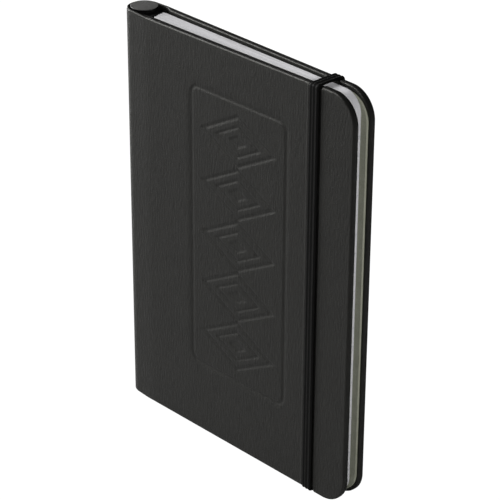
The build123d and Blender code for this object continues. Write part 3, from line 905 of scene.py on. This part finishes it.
def elasticBand():
    # The band's section swept along its route. Across the band, from -1 to 1, half the thickness is
    # (thick / 2 + rib) * sqrt(1 - share^8), and rib is a cosine that is 0 on a rib and -ribDepth between.
    along, route = bandRoute()
    tangent = np.gradient(route, along, axis=0)
    tangent /= np.linalg.norm(tangent, axis=1)[:, None]
    outward = np.stack([tangent[:, 1], -tangent[:, 0]], axis=1)
    v = np.linspace(-1, 1, band["across"])
    share = 0.6 * v + 0.4 * np.sin(math.pi / 2 * v)
    rib = band["ribDepth"] * (np.cos(2 * math.pi * band["ribs"] * share / 2) - 1) / 2
    face = (band["thick"] / 2 + rib) * (1 - np.abs(share) ** 8) ** 0.5
    across = band["wide"] / 2 * np.concatenate([share[:-1], share[:0:-1]])
    out = np.concatenate([-face[:-1], face[:0:-1]])
    yz = route[:, None, :] + outward[:, None, :] * out[None, :, None]
    x = book["bandX"] + np.broadcast_to(across, yz.shape[:2])
    points = np.concatenate([x[..., None], yz], axis=-1).reshape(-1, 3)
    index = np.arange(len(points)).reshape(yz.shape[:2])
    closed = np.concatenate([index, index[:, :1]], axis=1)
    polygons = gridQuads(closed).tolist() + [index[0][::-1].tolist(), index[-1].tolist()]
    girth = np.broadcast_to(across + 3 * out, yz.shape[:2])
    uv = np.stack([girth.ravel(), np.repeat(along, len(across))], axis=1)
    return points, polygons, uv


points, polygons, uv = elasticBand()
elasticPiece = makePiece("elasticClosure", points, polygons, elastic, uv, sharp=60)
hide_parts("elastic_band")
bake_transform(elasticPiece)
print("elastic made")

disc = {
    "round": 0.16 * mm, "dome": 0.05 * mm, "sides": 96,
    "matteFrom": 0.14 * mm,  # below the top; under that the side is glossy
}


def endDisc():
    # A closed profile of (radius, height) turned about the pen's axis; the top is a dome (1 - r*r).
    low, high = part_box("pen_end_disc")
    radius, bottom, top = (high.x - low.x) / 2, low.z, high.z - disc["dome"]
    turn = np.linspace(0, math.pi / 2, 6)
    share = np.linspace(1, 0.08, 10)[1:]
    edge = radius - disc["round"]
    r = np.concatenate([
        [0.08 * radius, edge], edge + disc["round"] * np.sin(turn[1:]),
        edge + disc["round"] * np.cos(turn), edge * share,
    ])
    z = np.concatenate([
        [bottom, bottom], bottom + disc["round"] * (1 - np.cos(turn[1:])),
        top - disc["round"] * (1 - np.sin(turn)), top + disc["dome"] * (1 - share ** 2),
    ])
    a = np.linspace(0, 2 * math.pi, disc["sides"], endpoint=False)
    x = book["penX"] + r[:, None] * np.cos(a)[None, :]
    y = r[:, None] * np.sin(a)[None, :]
    points = np.stack([x, y, np.broadcast_to(z[:, None], x.shape)], axis=-1).reshape(-1, 3)
    index = np.arange(len(points)).reshape(x.shape)
    closed = np.concatenate([index, index[:, :1]], axis=1)
    polygons = gridQuads(closed).tolist() + [index[0][::-1].tolist(), index[-1].tolist()]
    rowOfFace = np.concatenate([np.repeat(np.arange(len(r) - 1), disc["sides"]), [0, len(r) - 1]])
    return points, polygons, (z[rowOfFace] > high.z - disc["dome"] - disc["matteFrom"]).astype(np.int32)


points, polygons, matte = endDisc()
discPiece = makePiece("penEndCap", points, polygons, penGloss, sharp=40)
discPiece.data.materials.append(penDisc)
discPiece.data.polygons.foreach_set("material_index", matte)
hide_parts("pen_end_disc")
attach(discPiece, "pen_top")

spring = {"turns": 9, "wire": 0.22 * mm, "radius": 1.56 * mm}


def coilSpring():
    # A round wire on a helix, with its first and last turns closed up: height follows smooth(turn).
    low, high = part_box("refill_spring")[0].z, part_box("refill_spring")[1].z
    steps = spring["turns"] * 24
    t = np.linspace(0, 1, steps + 1)
    climb = 0.08 * t + 0.92 * smooth(0.02, 0.98, t)
    angle = 2 * math.pi * spring["turns"] * t
    outwards = np.stack([np.cos(angle), np.sin(angle)], axis=1)
    u = np.linspace(0, 2 * math.pi, 8, endpoint=False)
    radius = spring["radius"] + spring["wire"] * np.cos(u)[None, :] * np.ones((steps + 1, 1))
    middle = low + spring["wire"] + (high - low - 2 * spring["wire"]) * climb
    z = middle[:, None] + spring["wire"] * np.sin(u)[None, :]
    x = book["penX"] + outwards[:, :1] * radius
    y = outwards[:, 1:] * radius
    points = np.stack([x, y, z], axis=-1).reshape(-1, 3)
    index = np.arange(len(points)).reshape(x.shape)
    closed = np.concatenate([index, index[:, :1]], axis=1)
    polygons = gridQuads(closed)[:, ::-1].tolist() + [index[0].tolist(), index[-1][::-1].tolist()]
    return points, polygons


points, polygons = coilSpring()
springPiece = makePiece("refillSpring", points, polygons, springSteel)
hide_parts("refill_spring")
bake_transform(springPiece)
print("pen parts made")

stage = {"floorSize": 6.0, "skyLight": 0.03, "floorGrey": 0.48, "floorGlow": 1.12, "glowShare": 0.92}


def buildStage():
    # A pale floor far wider than the view, and an even sky that the camera sees as white.
    s = stage["floorSize"]
    floorMaterial, tree, shader = startMaterial("floorPaper", Roughness=0.9)
    shader.inputs["Base Color"].default_value = (*[stage["floorGrey"]] * 3, 1)
    output = next(n for n in tree.nodes if n.type == "OUTPUT_MATERIAL")
    glow = addNode(tree, "ShaderNodeEmission", {"Color": (1, 1, 1, 1), "Strength": stage["floorGlow"]})
    seen = addNode(tree, "ShaderNodeLightPath").outputs["Is Camera Ray"]
    share = mathNode(tree, "MULTIPLY", seen, stage["glowShare"])
    mixed = addNode(tree, "ShaderNodeMixShader", {0: share, 1: shader.outputs[0], 2: glow.outputs[0]})
    tree.links.new(mixed.outputs[0], output.inputs["Surface"])
    floor = makePiece(
        "floor", [(-s, -s, 0), (s, -s, 0), (s, s, 0), (-s, s, 0)], [[0, 1, 2, 3]], floorMaterial,
    )
    world = bpy.data.worlds.new("softRoom")
    world.use_nodes = True
    bpy.context.scene.world = world
    tree = world.node_tree
    background = tree.nodes["Background"]
    camera = addNode(tree, "ShaderNodeLightPath").outputs["Is Camera Ray"]
    strength = mathNode(tree, "MULTIPLY_ADD", camera, 1.0 - stage["skyLight"], stage["skyLight"])
    tree.links.new(strength, background.inputs["Strength"])
    background.inputs["Color"].default_value = (1, 1, 1, 1)


def areaLight(name, place, target, size, power, spreadAngle, glossy):
    data = bpy.data.lights.new(name, "AREA")
    data.shape, data.size, data.size_y, data.energy = "RECTANGLE", size[0], size[1], power
    data.spread = math.radians(spreadAngle)
    light = bpy.data.objects.new(name, data)
    light.location = place
    light.rotation_euler = (Vector(target) - Vector(place)).to_track_quat("-Z", "Y").to_euler()
    light.visible_glossy = glossy
    bpy.context.scene.collection.objects.link(light)


buildStage()
centre = (0, 0, midHeight)
# A soft key from the left, a narrow fill for the fore edge that gives no highlights, and a low light
# behind the spine: each with place, target, size, power and how far it spreads
lights = {
    "keyLeft": ((-2.1, -1.1, 1.15), (0, 0, 0.03), (1.5, 1.5), 80.0, 180, True),
    "foreEdge": ((0.84, -0.3, 0.42), centre, (0.15, 0.15), 0.08, 22, False),
    "spineRim": ((-1.3, 0.25, 0.16), centre, (0.4, 0.4), 15.0, 180, True),
}
for name, (place, target, size, power, spreadAngle, glossy) in lights.items():
    areaLight(name, place, target, size, power, spreadAngle, glossy)

# The view: turned about the book's middle by azimuth and elevation, with the aim set off a little
view = {
    "azimuth": 46.81, "elevation": 27.39, "roll": 0.31, "distance": 0.66422,
    "aimRight": 2.36 * mm, "aimUp": 0.71 * mm, "lens": 150.7, "sensor": 36.0,
}


def addCamera():
    a, e, r = (math.radians(view[k]) for k in ("azimuth", "elevation", "roll"))
    right = Vector((math.cos(a), math.sin(a), 0))
    back = Vector((math.sin(a) * math.cos(e), -math.cos(a) * math.cos(e), math.sin(e)))
    up = back.cross(right)
    rolledRight = right * math.cos(r) + up * math.sin(r)
    rolledUp = up * math.cos(r) - right * math.sin(r)
    data = bpy.data.cameras.new("camera")
    data.lens, data.sensor_width, data.clip_start = view["lens"], view["sensor"], 0.01
    camera = bpy.data.objects.new("camera", data)
    place = Vector(centre) + rolledRight * view["aimRight"] + rolledUp * view["aimUp"] + back * view["distance"]
    turned = Matrix((rolledRight, rolledUp, back)).transposed().to_4x4()
    camera.matrix_world = Matrix.Translation(place) @ turned
    bpy.context.scene.collection.objects.link(camera)
    bpy.context.scene.camera = camera


addCamera()
bpy.context.scene.view_settings.view_transform = "Standard"
print("stage ready")
